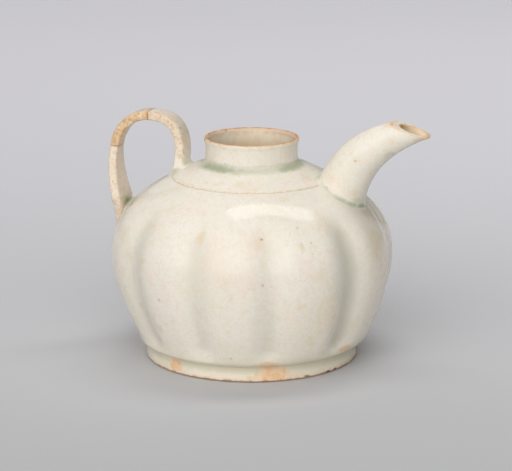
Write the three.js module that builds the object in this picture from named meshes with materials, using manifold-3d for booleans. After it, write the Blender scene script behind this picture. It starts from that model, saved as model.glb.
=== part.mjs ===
// A small lobed pouring ewer of glazed white clay, built the way a potter builds it: a pressed
// pot on a ring foot, a shoulder cap, a collar, a bent spout and a strap handle that was mended.
import * as THREE from 'three';
import { mergeVertices } from 'three/addons/utils/BufferGeometryUtils.js';
import Module from 'manifold-3d';

const wasm = await Module();
wasm.setup();

// All sizes are in millimetres. A height is measured up from the face that the ewer stands on,
// and a radius from the upright axis of the pot. The spout points to +X and the handle to -X.

// Pot wall and floor
const bellyRadius = 62.6;
const bellyHeight = 47;
const bellyFall = 15;
const bellyRise = 20.4;
const haunchRadius = 51.1;
const haunchHeight = 10.2;
const seamRadius = 35.2;
const seamHeight = 80.5;
const potWall = 3.2;
const floorThickness = 3.6;
const floorRadius = 38;
const innerWallStartShare = 0.25;

// Lobes: shallow grooves pressed into the soft wall, a little uneven, as directions in degrees
// counted from the spout
const grooveDirections = [11, 47.8, 84.7, 121.5, 158.3, 195.2, 232, 263.5, 294.7, 331.6];
const grooveDepth = 2.2;
const grooveTopHeight = 76;
const grooveTopFade = 14;
const grooveFootFade = 9;
const grooveSharpness = 5;
const lobeStationShares = [0, 0.07, 0.16, 0.32, 0.5, 0.68, 0.84, 0.93];

// Ring foot
const footHeight = 7;
const footRadius = 46.7;
const heelRadius = 45.4;
const footRingWall = 5.6;
const footEdgeBevel = 0.6;

// Shoulder cap inside the scored line
const capWall = 3;
const seamNotch = 0.25;

// Neck collar
const neckFootRadius = 20.8;
const neckRadius = 20.25;
const neckWall = 1.9;
const neckFootRise = 1.4;
const rimHeight = 97.9;
const rimSwell = 0.65;
const rimSwellDrop = 1.6;
const rimRound = 0.5;

// Spout
const spoutRootRadius = 40.7;
const spoutRootSink = 1.8;
const spoutRootPull = 18.6;
const spoutTipRadius = 76.4;
const spoutTipHeight = 106.3;
const spoutTipPull = 19.3;
const spoutRootThickness = 22.2;
const spoutMiddleThickness = 18.6;
const spoutTipThickness = 9.8;
const spoutRootWall = 2.7;
const spoutTipWall = 1.2;
const spoutBoreDrop = 0.5;
const spoutReach = 79.9;
const spoutLipHeight = 103.1;
const spoutHoleRadius = 6;
const spoutRootAngle = 71.5;
const spoutTipAngle = 17.2;
const spoutCutAngle = 19;
const spoutCutRoll = 7;

// Strap handle, in pieces between the old break lines
const frontRootRadius = 33;
const frontRootSink = 0.6;
const frontBowRadius = 29.4;
const frontBowHeight = 98;
const crownBreakRadius = 46.5;
const crownHeight = 105.1;
const crownFrontPull = 12;
const crownRearPull = 8;
const rearBreakRadius = 62.9;
const rearBreakHeight = 90.5;
const rearBreakPull = 9.1;
const rearLegPull = 8;
const rearRootHeight = 66.5;
const rearRootStandoff = 5.7;
const rearRootPull = 7.7;
const tailPull = 4;
const tailEndHeight = 53.5;
const tailEndSink = 0.3;
const tailEndPull = 4.5;
const rearBreakAngle = -80.5;
const rearRootAngle = -75.5;
const frontRootWidth = 11.8;
const frontRootThickness = 4.8;
const crownWidth = 10;
const crownThickness = 4.3;
const rearBreakWidth = 8.2;
const rearBreakThickness = 4.2;
const rearRootWidth = 16.4;
const rearRootThickness = 4.8;
const tailEndWidth = 9;
const tailEndThickness = 3;
const strapCornerShare = 0.3;

// Luting slip in the corners, and the clearance between pieces that follow each other's shape
const slipClearance = 0.3;
const neckSlipReach = 2.3;
const neckSlipRise = 1.9;
const spoutSlipReach = 1.4;
const spoutSlipRise = 1.2;
const strapSlipReach = 2.6;
const strapSlipRise = 2.8;
const wedgeWidth = 10.5;
const wedgeTopShare = 0.13;
const wedgeBottomShare = 0.4;
const overrun = 6;

// Facets round and along the forms
const lobeCount = grooveDirections.length;
const roundSegments = lobeCount * lobeStationShares.length;
const spoutSides = 24;
const spoutSteps = 14;
const strapSides = 16;
const strapSteps = 10;
const heelSteps = 3;
const lowerWallSteps = 6;
const upperWallSteps = 7;
const innerWallSteps = 5;
const floorCornerSteps = 3;
const slipSteps = 3;
const searchSteps = 40;

// Finishes
const glazedClay = { color: 0xe3dfcb, roughness: 0.28, metalness: 0 };
const pooledGlaze = { color: 0xc3cdb4, roughness: 0.22, metalness: 0 };
const mendedClay = { color: 0xd9cdb0, roughness: 0.5, metalness: 0 };

const at = (radius, height) => new THREE.Vector2(radius, height);
const inPlane = (x, z) => new THREE.Vector3(x, 0, z);
const radians = THREE.MathUtils.degToRad;
const mix = THREE.MathUtils.lerp;

// The place between low and high where a test that holds at low stops holding
function boundary(low, high, holds) {
  let inner = low;
  let outer = high;
  for (let step = 0; step < searchSteps; step += 1) {
    const middle = (inner + outer) / 2;
    if (holds(middle)) {
      inner = middle;
    } else {
      outer = middle;
    }
  }
  return outer;
}

// A direction in the upright plane through spout and handle, from its angle above level
function directionAt(degrees, side) {
  return inPlane(side * Math.cos(radians(degrees)), Math.sin(radians(degrees)));
}

// Solids and meshes

function toSolid(geometry) {
  const bare = geometry.index ? geometry.clone() : geometry;
  bare.deleteAttribute('normal');
  bare.deleteAttribute('uv');
  const merged = mergeVertices(bare);
  return new wasm.Manifold(new wasm.Mesh({
    numProp: 3,
    vertProperties: merged.attributes.position.array,
    triVerts: new Uint32Array(merged.index.array),
  }));
}

function toPiece(name, solid, finish) {
  const mesh = solid.getMesh();
  const geometry = new THREE.BufferGeometry();
  geometry.setAttribute('position', new THREE.BufferAttribute(mesh.vertProperties, mesh.numProp));
  geometry.setIndex(new THREE.BufferAttribute(mesh.triVerts, 1));
  geometry.computeVertexNormals();
  const piece = new THREE.Mesh(geometry, new THREE.MeshStandardMaterial(finish));
  piece.name = name;
  return piece;
}

// A ring or bowl turned about the upright axis from its outline
function turned(outline) {
  const geometry = new THREE.LatheGeometry(outline, roundSegments);
  geometry.rotateX(Math.PI / 2);
  return geometry;
}

// Outline of the pot, from the heel up over the belly to the shoulder seam

const shoulderSlope = (seamHeight - bellyHeight - bellyRise) / (bellyRadius - seamRadius);
const haunchSlope = (bellyHeight - bellyFall - haunchHeight) / (bellyRadius - haunchRadius);
const heelTuck = (haunchHeight - footHeight) / haunchSlope;
const neckSeatRadius = neckFootRadius + slipClearance;

const heelCurve = new THREE.QuadraticBezierCurve(
  at(heelRadius, footHeight),
  at(haunchRadius - heelTuck, footHeight),
  at(haunchRadius, haunchHeight),
);
const lowerWallCurve = new THREE.QuadraticBezierCurve(
  at(haunchRadius, haunchHeight),
  at(bellyRadius, bellyHeight - bellyFall),
  at(bellyRadius, bellyHeight),
);
const upperWallCurve = new THREE.QuadraticBezierCurve(
  at(bellyRadius, bellyHeight),
  at(bellyRadius, bellyHeight + bellyRise),
  at(seamRadius, seamHeight),
);

function capHeightAt(radius) {
  return seamHeight + (seamRadius - radius) * shoulderSlope;
}

function shoulderHeightAt(radius) {
  if (radius <= seamRadius) {
    return capHeightAt(Math.max(radius, neckSeatRadius));
  }
  const share = Math.sqrt((bellyRadius - Math.min(radius, bellyRadius)) / (bellyRadius - seamRadius));
  return upperWallCurve.getPoint(share).y;
}

// Radius of the outside at a height, on the upper half of the pot and on the cap
function shoulderRadiusAt(height) {
  if (height >= seamHeight) {
    return seamRadius - (height - seamHeight) / shoulderSlope;
  }
  const share = boundary(0, 1, (tried) => upperWallCurve.getPoint(tried).y < height);
  return upperWallCurve.getPoint(share).x;
}

// Points of a curve moved square to it, to the left of its direction
function offsetPoints(curve, steps, distance, startShare, endShare) {
  const points = [];
  for (let step = 0; step <= steps; step += 1) {
    const share = mix(startShare, endShare, step / steps);
    const tangent = curve.getTangent(share);
    points.push(curve.getPoint(share).add(at(-tangent.y, tangent.x).multiplyScalar(distance)));
  }
  return points;
}

// Lobes

function grooveShareAt(height) {
  const top = 1 - THREE.MathUtils.smoothstep(height, grooveTopHeight - grooveTopFade, grooveTopHeight);
  return top * THREE.MathUtils.smoothstep(height, footHeight, footHeight + grooveFootFade);
}

// Depth of the pressing: lobeShare runs from one groove (0) over the crest to the next (1)
function pressingAt(lobeShare, radius, height) {
  const groove = Math.abs(Math.cos(Math.PI * lobeShare)) ** grooveSharpness;
  return grooveDepth * groove * grooveShareAt(height) * Math.min(1, radius / haunchRadius);
}

function grooveAngle(lobe) {
  const wraps = Math.floor(lobe / lobeCount);
  return radians(grooveDirections[lobe - wraps * lobeCount]) + wraps * Math.PI * 2;
}

// Moves the stations of a turned form to the uneven lobes and presses its grooves in
function pressLobes(geometry) {
  const position = geometry.attributes.position;
  const perLobe = lobeStationShares.length;
  for (let index = 0; index < position.count; index += 1) {
    const radius = Math.hypot(position.getX(index), position.getY(index));
    if (radius > slipClearance) {
      const turn = Math.atan2(position.getY(index), position.getX(index)) / (Math.PI * 2);
      const station = Math.round((turn + 1) * roundSegments) % roundSegments;
      const lobe = Math.floor(station / perLobe);
      const lobeShare = lobeStationShares[station % perLobe];
      const angle = mix(grooveAngle(lobe), grooveAngle(lobe + 1), lobeShare);
      const pressed = radius - pressingAt(lobeShare, radius, position.getZ(index));
      position.setXY(index, pressed * Math.cos(angle), pressed * Math.sin(angle));
    }
  }
  return geometry;
}

// How far a point of the upper half lies outside the pot, measured level
function outsidePot(point) {
  let angle = Math.atan2(point.y, point.x);
  if (angle < grooveAngle(0)) {
    angle += Math.PI * 2;
  }
  let lobe = 0;
  while (grooveAngle(lobe + 1) <= angle) {
    lobe += 1;
  }
  const lobeShare = (angle - grooveAngle(lobe)) / (grooveAngle(lobe + 1) - grooveAngle(lobe));
  const radius = shoulderRadiusAt(point.z);
  return Math.hypot(point.x, point.y) - radius + pressingAt(lobeShare, radius, point.z);
}

// Pot

const floorTop = footHeight + floorThickness;

function makePotShell() {
  const lowerInner = offsetPoints(lowerWallCurve, innerWallSteps, potWall, innerWallStartShare, 1);
  const upperInner = offsetPoints(upperWallCurve, innerWallSteps, potWall, 0, 1);
  const start = lowerWallCurve.getTangent(innerWallStartShare);
  const wallStart = lowerInner[0];
  const cornerRadius = wallStart.x - (wallStart.y - floorTop) * (start.x / start.y);
  const corner = new THREE.QuadraticBezierCurve(
    at(floorRadius, floorTop),
    at(cornerRadius, floorTop),
    wallStart,
  );
  const innerTop = upperInner[innerWallSteps];
  const mouth = at(innerTop.x - (seamHeight - innerTop.y) / shoulderSlope, seamHeight);
  return pressLobes(turned([
    at(0, footHeight),
    ...heelCurve.getPoints(heelSteps),
    ...lowerWallCurve.getPoints(lowerWallSteps).slice(1),
    ...upperWallCurve.getPoints(upperWallSteps).slice(1),
    mouth,
    ...upperInner.reverse().slice(0, -1),
    ...lowerInner.reverse(),
    ...corner.getPoints(floorCornerSteps).reverse().slice(1),
    at(0, floorTop),
  ]));
}

// The outside of pot and cap as one filled form, grown by the slip's clearance, for cutting
function makePotEnvelope() {
  const outline = [
    at(0, bellyHeight - bellyFall),
    at(bellyRadius + slipClearance, bellyHeight - bellyFall),
    ...offsetPoints(upperWallCurve, upperWallSteps, -slipClearance, 0, 1),
    at(neckSeatRadius, capHeightAt(neckSeatRadius) + slipClearance / Math.cos(Math.atan(shoulderSlope))),
  ];
  outline.push(at(0, outline[outline.length - 1].y));
  return pressLobes(turned(outline));
}

// Round and strap sections along a curve in the upright plane

const spout = {
  curve: makeSpoutCurve(0),
  halfDepth: (share) => quadratic(share, spoutRootThickness, spoutMiddleThickness, spoutTipThickness) / 2,
  corner: 1,
};
spout.halfWidth = spout.halfDepth;

const bore = {
  curve: makeSpoutCurve(spoutBoreDrop),
  halfDepth: (share) => spout.halfDepth(share) - mix(spoutRootWall, spoutTipWall, share),
  corner: 1,
};
bore.halfWidth = bore.halfDepth;

function quadratic(share, first, middle, last) {
  return mix(mix(first, middle, share), mix(middle, last, share), share);
}

// The bore drops towards the tip, so that the wall is thinner below than above
function makeSpoutCurve(tipDrop) {
  const root = inPlane(spoutRootRadius, shoulderHeightAt(spoutRootRadius) - spoutRootSink);
  const tip = inPlane(spoutTipRadius, spoutTipHeight - tipDrop);
  return new THREE.CubicBezierCurve3(
    root,
    root.clone().addScaledVector(directionAt(spoutRootAngle, 1), spoutRootPull),
    tip.clone().addScaledVector(directionAt(spoutTipAngle, 1), -spoutTipPull),
    tip,
  );
}

function strap(curve, widths, thicknesses) {
  return {
    curve,
    halfWidth: (share) => mix(widths[0], widths[1], share) / 2,
    halfDepth: (share) => mix(thicknesses[0], thicknesses[1], share) / 2,
    corner: strapCornerShare,
  };
}

// A point on a section's outside; beyond either end the form runs straight on
function surfacePoint(form, along, angle, growth) {
  const length = form.curve.getLength();
  const share = THREE.MathUtils.clamp(along / length, 0, 1);
  const tangent = form.curve.getTangent(share);
  const across = inPlane(tangent.z, -tangent.x);
  const side = across.clone().cross(tangent);
  const bend = (value) => Math.sign(value) * Math.abs(value) ** form.corner;
  return form.curve.getPoint(share)
    .addScaledVector(tangent, along - share * length)
    .addScaledVector(across, bend(Math.sin(angle)) * (form.halfDepth(share) + growth))
    .addScaledVector(side, bend(Math.cos(angle)) * (form.halfWidth(share) + growth));
}

// A rod whose rings are moved on to the form's sections, by the number of each side round them
function swept(form, sides, steps, lead, tail, growth) {
  const rod = new THREE.CylinderGeometry(1, 1, 1, sides, steps);
  const position = rod.attributes.position;
  const length = form.curve.getLength();
  for (let index = 0; index < position.count; index += 1) {
    const along = mix(-lead, length + tail, position.getY(index) + 1 / 2);
    const reach = Math.hypot(position.getX(index), position.getZ(index));
    const turn = Math.atan2(position.getX(index), position.getZ(index)) / (Math.PI * 2);
    const angle = ((Math.round((turn + 1) * sides) % sides) / sides) * Math.PI * 2;
    const middle = surfacePoint(form, along, 0, 0).add(surfacePoint(form, along, Math.PI, 0)).divideScalar(2);
    const point = reach > 1 / 2 ? surfacePoint(form, along, angle, growth) : middle;
    position.setXYZ(index, point.x, point.y, point.z);
  }
  return toSolid(rod);
}

// A ring of slip in the corner between a form and the pot: its four edges are on the form, on
// the pot, in the corner, and on the hollow face between them
function slipRing(form, sides, reach, rise) {
  const ring = new THREE.TorusGeometry(1, 1 / 2, 4, sides);
  const position = ring.attributes.position;
  const lift = inPlane(0, 1);
  const edges = [];
  for (let side = 0; side <= sides; side += 1) {
    const angle = ((side % sides) / sides) * Math.PI * 2;
    const pointAt = (along) => surfacePoint(form, along, angle, slipClearance);
    const touch = boundary(-overrun, overrun, (along) => outsidePot(pointAt(along)) < slipClearance);
    const corner = pointAt(touch);
    const upper = pointAt(touch + rise);
    const outer = surfacePoint(form, touch, angle, slipClearance + reach);
    outer.addScaledVector(lift, dropToPot(outer));
    const hollow = upper.clone().add(outer).divideScalar(2).lerp(corner, 1 / 2);
    edges.push([outer, hollow, upper, corner]);
  }
  let index = 0;
  for (let edge = 0; edge <= 4; edge += 1) {
    for (let side = 0; side <= sides; side += 1) {
      const point = edges[side][edge % 4];
      position.setXYZ(index, point.x, point.y, point.z);
      index += 1;
    }
  }
  return toSolid(ring);
}

// Height to add to a point so that it lies on the pot, the slip's clearance away
function dropToPot(point) {
  const lifted = (rise) => point.clone().add(inPlane(0, rise));
  return boundary(-overrun, overrun, (rise) => outsidePot(lifted(rise)) < slipClearance);
}

// Pieces

const envelope = toSolid(makePotEnvelope());

function makePot() {
  const hole = new THREE.CylinderGeometry(spoutHoleRadius, spoutHoleRadius, overrun * 2, spoutSides);
  const up = new THREE.Vector3(0, 1, 0);
  hole.applyQuaternion(new THREE.Quaternion().setFromUnitVectors(up, spout.curve.getTangent(0)));
  const root = spout.curve.getPoint(0);
  hole.translate(root.x, root.y, root.z);
  return toSolid(makePotShell()).subtract(toSolid(hole));
}

function makeFootRing() {
  const innerRadius = heelRadius - footRingWall;
  return toSolid(turned([
    at(innerRadius, footHeight),
    at(innerRadius, footEdgeBevel),
    at(innerRadius + footEdgeBevel, 0),
    at(footRadius - footEdgeBevel, 0),
    at(footRadius, footEdgeBevel),
    at(heelRadius, footHeight),
    at(innerRadius, footHeight),
  ]));
}

function makeCap() {
  const holeRadius = neckRadius - neckWall;
  const edgeRadius = seamRadius - seamNotch;
  const depth = capWall / Math.cos(Math.atan(shoulderSlope));
  const undersideRadius = edgeRadius - depth / shoulderSlope;
  const seatHeight = capHeightAt(neckSeatRadius);
  return toSolid(turned([
    at(holeRadius, capHeightAt(holeRadius) - depth),
    at(undersideRadius, seamHeight),
    at(edgeRadius, seamHeight),
    at(edgeRadius, capHeightAt(edgeRadius)),
    at(neckSeatRadius, seatHeight),
    at(holeRadius, seatHeight),
    at(holeRadius, capHeightAt(holeRadius) - depth),
  ]));
}

function makeNeck() {
  const seatHeight = capHeightAt(neckSeatRadius);
  const innerRadius = neckRadius - neckWall;
  const swellHeight = rimHeight - rimSwellDrop;
  return toSolid(turned([
    at(innerRadius, seatHeight),
    at(neckFootRadius, seatHeight),
    at(neckRadius, seatHeight + neckFootRise),
    at(neckRadius, swellHeight - rimSwellDrop),
    at(neckRadius + rimSwell, swellHeight),
    at(neckRadius + rimSwell - rimRound, rimHeight),
    at(innerRadius + rimRound, rimHeight),
    at(innerRadius, swellHeight),
    at(innerRadius, seatHeight),
  ]));
}

function makeNeckSlip() {
  const footHeightAtNeck = capHeightAt(neckSeatRadius);
  const outerRadius = neckSeatRadius + neckSlipReach;
  const face = new THREE.QuadraticBezierCurve(
    at(outerRadius, capHeightAt(outerRadius)),
    at(neckSeatRadius + slipClearance, capHeightAt(neckSeatRadius)),
    at(neckSeatRadius, footHeightAtNeck + neckSlipRise),
  );
  return toSolid(turned([
    at(neckSeatRadius, footHeightAtNeck),
    ...face.getPoints(slipSteps),
    at(neckSeatRadius, footHeightAtNeck),
  ]));
}

// The mouth is cut on a slant, and a little lower on the -Y side than on the other
function makeSpout() {
  const outside = swept(spout, spoutSides, spoutSteps, overrun, overrun, 0);
  const inside = swept(bore, spoutSides, spoutSteps, overrun * 2, overrun * 2, 0);
  const cutter = new THREE.BoxGeometry(spoutReach, spoutReach, spoutReach);
  cutter.translate(0, 0, spoutReach / 2);
  cutter.rotateX(radians(spoutCutRoll));
  cutter.rotateY(radians(spoutCutAngle));
  cutter.translate(spoutReach, 0, spoutLipHeight);
  return outside.subtract(inside).subtract(envelope).subtract(toSolid(cutter));
}

const crown = inPlane(-crownBreakRadius, crownHeight);
const rearBreak = inPlane(-rearBreakRadius, rearBreakHeight);
const rearRoot = inPlane(-shoulderRadiusAt(rearRootHeight) - rearRootStandoff, rearRootHeight);
const tailEnd = inPlane(-shoulderRadiusAt(tailEndHeight) + tailEndSink, tailEndHeight);
const level = inPlane(-1, 0);
const rearBreakDown = directionAt(rearBreakAngle, -1);
const rearRootDown = directionAt(rearRootAngle, 1);

const frontLeg = strap(
  new THREE.CubicBezierCurve3(
    inPlane(-frontRootRadius, shoulderHeightAt(frontRootRadius) - frontRootSink),
    inPlane(-frontBowRadius, frontBowHeight),
    crown.clone().addScaledVector(level, -crownFrontPull),
    crown,
  ),
  [frontRootWidth, crownWidth],
  [frontRootThickness, crownThickness],
);
const crownStrap = strap(
  new THREE.CubicBezierCurve3(
    crown,
    crown.clone().addScaledVector(level, crownRearPull),
    rearBreak.clone().addScaledVector(rearBreakDown, -rearBreakPull),
    rearBreak,
  ),
  [crownWidth, rearBreakWidth],
  [crownThickness, rearBreakThickness],
);
const backLeg = strap(
  new THREE.CubicBezierCurve3(
    rearBreak,
    rearBreak.clone().addScaledVector(rearBreakDown, rearLegPull),
    rearRoot.clone().addScaledVector(rearRootDown, -rearRootPull),
    rearRoot,
  ),
  [rearBreakWidth, rearRootWidth],
  [rearBreakThickness, rearRootThickness],
);
const tail = strap(
  new THREE.CubicBezierCurve3(
    rearRoot,
    rearRoot.clone().addScaledVector(rearRootDown, tailPull),
    tailEnd.clone().add(inPlane(0, tailEndPull)),
    tailEnd,
  ),
  [rearRootWidth, tailEndWidth],
  [rearRootThickness, tailEndThickness],
);

// The wedge of slip fills the corner under the strap, between its inner face and the pot: a
// slab along the strap's centre line, less everything that strap and pot take up
function makeRearSlip() {
  const along = [];
  for (let step = 0; step <= slipSteps; step += 1) {
    const share = mix(1 - wedgeTopShare, 1, step / slipSteps);
    along.push(backLeg.curve.getPoint(share));
  }
  for (let step = 1; step <= slipSteps; step += 1) {
    along.push(tail.curve.getPoint(wedgeBottomShare * (step / slipSteps)));
  }
  const bottom = along[along.length - 1];
  const top = along[0];
  const profile = new THREE.Shape([
    ...along.map((point) => at(point.x, point.z)),
    at(bottom.x + rearRootStandoff + overrun, bottom.z),
    at(top.x + rearRootThickness, top.z),
  ]);
  const slab = new THREE.ExtrudeGeometry(profile, { depth: wedgeWidth, bevelEnabled: false });
  slab.translate(0, 0, -wedgeWidth / 2);
  slab.rotateX(Math.PI / 2);
  return toSolid(slab)
    .subtract(envelope)
    .subtract(swept(backLeg, strapSides, strapSteps, 0, slipClearance, slipClearance))
    .subtract(swept(tail, strapSides, strapSteps, 0, 0, slipClearance));
}

const ewer = new THREE.Group();
ewer.add(
  toPiece('melon_body', makePot(), glazedClay),
  toPiece('foot_ring', makeFootRing(), glazedClay),
  toPiece('shoulder_cap', makeCap(), glazedClay),
  toPiece('neck_collar', makeNeck(), glazedClay),
  toPiece('spout', makeSpout(), glazedClay),
  toPiece(
    'handle_front_leg',
    swept(frontLeg, strapSides, strapSteps, overrun, 0, 0).subtract(envelope),
    glazedClay,
  ),
  toPiece('handle_crown', swept(crownStrap, strapSides, strapSteps, 0, 0, 0), mendedClay),
  toPiece('handle_back_leg', swept(backLeg, strapSides, strapSteps, 0, 0, 0), glazedClay),
  toPiece('handle_tail', swept(tail, strapSides, strapSteps, 0, 0, 0).subtract(envelope), glazedClay),
  toPiece('neck_luting', makeNeckSlip(), pooledGlaze),
  toPiece('spout_luting', slipRing(spout, spoutSides, spoutSlipReach, spoutSlipRise), pooledGlaze),
  toPiece(
    'handle_front_luting',
    slipRing(frontLeg, strapSides, strapSlipReach, strapSlipRise),
    pooledGlaze,
  ),
  toPiece('handle_back_luting', makeRearSlip(), pooledGlaze),
);

// The origin is on the standing face, half way between the spout's tip and the handle's back
const box = new THREE.Box3().setFromObject(ewer);
ewer.position.setX(-(box.min.x + box.max.x) / 2);

export default ewer;
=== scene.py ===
# %% [markdown]
# # A lobed ewer in pale glaze
# The real object is a small pouring ewer. A thrown pot was pressed into ten lobes while it was
# soft, and a ring foot, a shoulder cap, a collar, a spout and a strap handle were stuck on with
# wet clay called slip. Everything in the scene is in metres, and sizes are written in millimetres
# times MM. The CAD model says where each piece goes.

# %% Load the CAD frame
import functools
import math
import bmesh
import bpy
from mathutils import Matrix, Vector


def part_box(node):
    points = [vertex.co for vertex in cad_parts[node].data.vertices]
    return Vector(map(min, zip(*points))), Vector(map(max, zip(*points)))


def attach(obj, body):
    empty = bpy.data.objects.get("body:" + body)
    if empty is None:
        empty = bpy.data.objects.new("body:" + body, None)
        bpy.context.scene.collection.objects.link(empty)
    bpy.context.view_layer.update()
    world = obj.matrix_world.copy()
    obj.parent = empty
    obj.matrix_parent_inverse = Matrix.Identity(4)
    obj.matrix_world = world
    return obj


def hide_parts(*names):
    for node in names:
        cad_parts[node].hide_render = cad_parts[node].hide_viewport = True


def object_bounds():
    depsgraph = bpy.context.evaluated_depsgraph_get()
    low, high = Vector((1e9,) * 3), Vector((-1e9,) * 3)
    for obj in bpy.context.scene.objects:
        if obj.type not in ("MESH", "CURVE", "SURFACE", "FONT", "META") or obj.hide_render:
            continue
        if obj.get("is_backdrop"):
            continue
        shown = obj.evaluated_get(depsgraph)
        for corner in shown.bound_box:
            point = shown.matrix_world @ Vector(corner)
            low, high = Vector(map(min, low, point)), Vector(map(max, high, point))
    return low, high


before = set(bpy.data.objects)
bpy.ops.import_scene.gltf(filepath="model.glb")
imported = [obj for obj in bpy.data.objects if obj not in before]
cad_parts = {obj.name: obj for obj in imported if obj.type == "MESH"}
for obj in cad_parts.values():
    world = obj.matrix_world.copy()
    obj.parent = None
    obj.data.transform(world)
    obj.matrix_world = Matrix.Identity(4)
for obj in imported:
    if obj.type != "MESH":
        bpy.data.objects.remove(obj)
cad_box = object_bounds()
MM = 0.001
print("nodes:", ", ".join(sorted(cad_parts)))

# %% [markdown]
# ## The camera
# The photograph was taken from a little over a metre away with a long lens, 14 degrees above the
# table and 18 degrees round from square on. The pot's upright axis isn't in the middle of the
# frame's box, so the camera is set out from that axis.

# %% Find the pot's axis and set the camera
def new_object(name, data):
    """An object in the scene that holds this data."""
    item = bpy.data.objects.new(name, data)
    bpy.context.collection.objects.link(item)
    return item


neck_low, neck_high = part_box("neck_collar")
AXIS_X = (neck_low[0] + neck_high[0]) / 2
VIEW_TURN = math.radians(18)
CAMERA_AWAY, CAMERA_UP = 1040.8, 316.5
AIM_RIGHT, AIM_UP = 1.95, 53.3
image_right = Vector((math.cos(VIEW_TURN), math.sin(VIEW_TURN), 0))
towards_camera = Vector((math.sin(VIEW_TURN), -math.cos(VIEW_TURN), 0))
axis_foot = Vector((AXIS_X, 0, 0))
camera_place = axis_foot + towards_camera * CAMERA_AWAY * MM + Vector((0, 0, CAMERA_UP * MM))
camera_aim = axis_foot + image_right * AIM_RIGHT * MM + Vector((0, 0, AIM_UP * MM))

camera_data = bpy.data.cameras.new("photo_camera")
camera_data.sensor_width = 36
camera_data.lens = 171
camera_data.clip_start = 0.05
camera_data.clip_end = 20
camera = new_object("photo_camera", camera_data)
camera.location = camera_place
camera.rotation_euler = (camera_aim - camera_place).to_track_quat("-Z", "Y").to_euler()
bpy.context.scene.camera = camera
print("axis at x =", round(AXIS_X / MM, 2), "mm")

# %% [markdown]
# ## Two ways to make clay
# Anything thrown on a wheel is a spun outline: a chain of points in one upright plane that is
# turned once round the axis. Anything rolled, pulled or bent by hand is a skin: a flat grid whose
# two directions run round and along the form, folded into place and closed where edges meet.

# %% Turn an outline into a thrown form
THROWN_STEPS = 288
WELD = 0.001 * MM


def closed(form):
    """Merges the corners that meet and turns the faces outwards."""
    bmesh.ops.remove_doubles(form, verts=form.verts, dist=WELD)
    bmesh.ops.recalc_face_normals(form, faces=form.faces)
    return form


def thrown(outline):
    """A closed form from (radius, height) points, from axis to axis or round a closed ring."""
    form = bmesh.new()
    corners = [form.verts.new((radius, 0, height)) for radius, height in outline]
    edges = [form.edges.new(pair) for pair in zip(corners, corners[1:])]
    if outline[0][0] > 0:
        edges.append(form.edges.new((corners[-1], corners[0])))
    bmesh.ops.spin(
        form, geom=corners + edges, cent=(0, 0, 0), axis=(0, 0, 1), dvec=(0, 0, 0),
        angle=2 * math.pi, steps=THROWN_STEPS, use_merge=True, use_duplicate=False,
    )
    return closed(form)


print("thrown forms have", THROWN_STEPS, "steps round the axis")


# %% Fold a grid into a skin
def skin(around, stations, place, marks=None):
    """A closed form: place(turn, station) gives the point at each step round each station.

    Each of the marks is a function of the same two, kept on the corners for the finishes to read.
    """
    form = bmesh.new()
    layers = {name: form.verts.layers.float.new(name) for name in marks or {}}
    last = len(stations) - 1
    bmesh.ops.create_grid(form, x_segments=around, y_segments=last, size=0.5)
    for corner in form.verts:
        turn = (corner.co.x + 0.5) % 1.0
        station = stations[round((corner.co.y + 0.5) * last)]
        corner.co = place(turn * 2 * math.pi, station)
        for name, layer in layers.items():
            corner[layer] = marks[name](turn * 2 * math.pi, station)
    return closed(form)


# %% Put a finished form into the scene
def mesh_of(form, name):
    mesh = bpy.data.meshes.new(name)
    form.to_mesh(mesh)
    form.free()
    return mesh


def set_down(form, name, node):
    """Makes the form an object at the origin that stands for its CAD node."""
    for corner in form.verts:
        corner.co.x += AXIS_X
    for face in form.faces:
        face.smooth = True
    piece = new_object(name, mesh_of(form, name))
    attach(piece, "root")
    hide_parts(node)
    print(name, len(piece.data.polygons), "faces")
    return piece


# %% [markdown]
# ## The pot's outline
# The belly is two smooth curves that meet at the widest place, and a short curl tucks the heel
# in over the foot. The shoulder runs straight up to the neck at the slope where the upper curve
# ends. The potter pressed ten grooves down the soft wall, a little unevenly.

# %% Curves of the wall
BELLY_RADIUS, BELLY_HEIGHT = 62.6 * MM, 47 * MM
HAUNCH_RADIUS, HAUNCH_HEIGHT = 51.1 * MM, 10.2 * MM
HEEL_RADIUS, FOOT_HEIGHT = 45.4 * MM, 7 * MM
SEAM_RADIUS, SEAM_HEIGHT = 35.2 * MM, 80.5 * MM
POT_WALL, FLOOR_TOP = 3.2 * MM, 10.6 * MM
SHOULDER_SLOPE = (SEAM_HEIGHT - BELLY_HEIGHT - 20.4 * MM) / (BELLY_RADIUS - SEAM_RADIUS)
NECK_SEAT_RADIUS = 21.1 * MM


def mm(*points):
    """Points written in millimetres, as metres."""
    return [(across * MM, up * MM) for across, up in points]


HEEL = [(HEEL_RADIUS, FOOT_HEIGHT), (49.6 * MM, FOOT_HEIGHT), (HAUNCH_RADIUS, HAUNCH_HEIGHT)]
LOWER_WALL = [(HAUNCH_RADIUS, HAUNCH_HEIGHT), (BELLY_RADIUS, 32 * MM), (BELLY_RADIUS, BELLY_HEIGHT)]
UPPER_WALL = [(BELLY_RADIUS, BELLY_HEIGHT), (BELLY_RADIUS, 67.4 * MM), (SEAM_RADIUS, SEAM_HEIGHT)]


def bezier(points, share):
    """The point at a share of the way along a curve with these pulls."""
    points = [Vector(point) for point in points]
    while len(points) > 1:
        points = [first.lerp(second, share) for first, second in zip(points, points[1:])]
    return points[0]


def bezier_heading(points, share):
    """The unit direction of the curve there."""
    steps = [Vector(second) - Vector(first) for first, second in zip(points, points[1:])]
    return bezier(steps, share).normalized()


def along(points, count, start=0.0, end=1.0, inwards=0.0):
    """Points of an outline curve, moved square to it towards the inside of the pot."""
    chain = []
    for step in range(count + 1):
        share = start + (end - start) * step / count
        point, heading = bezier(points, share), bezier_heading(points, share)
        chain.append((point.x - heading.y * inwards, point.y + heading.x * inwards))
    return chain


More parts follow.
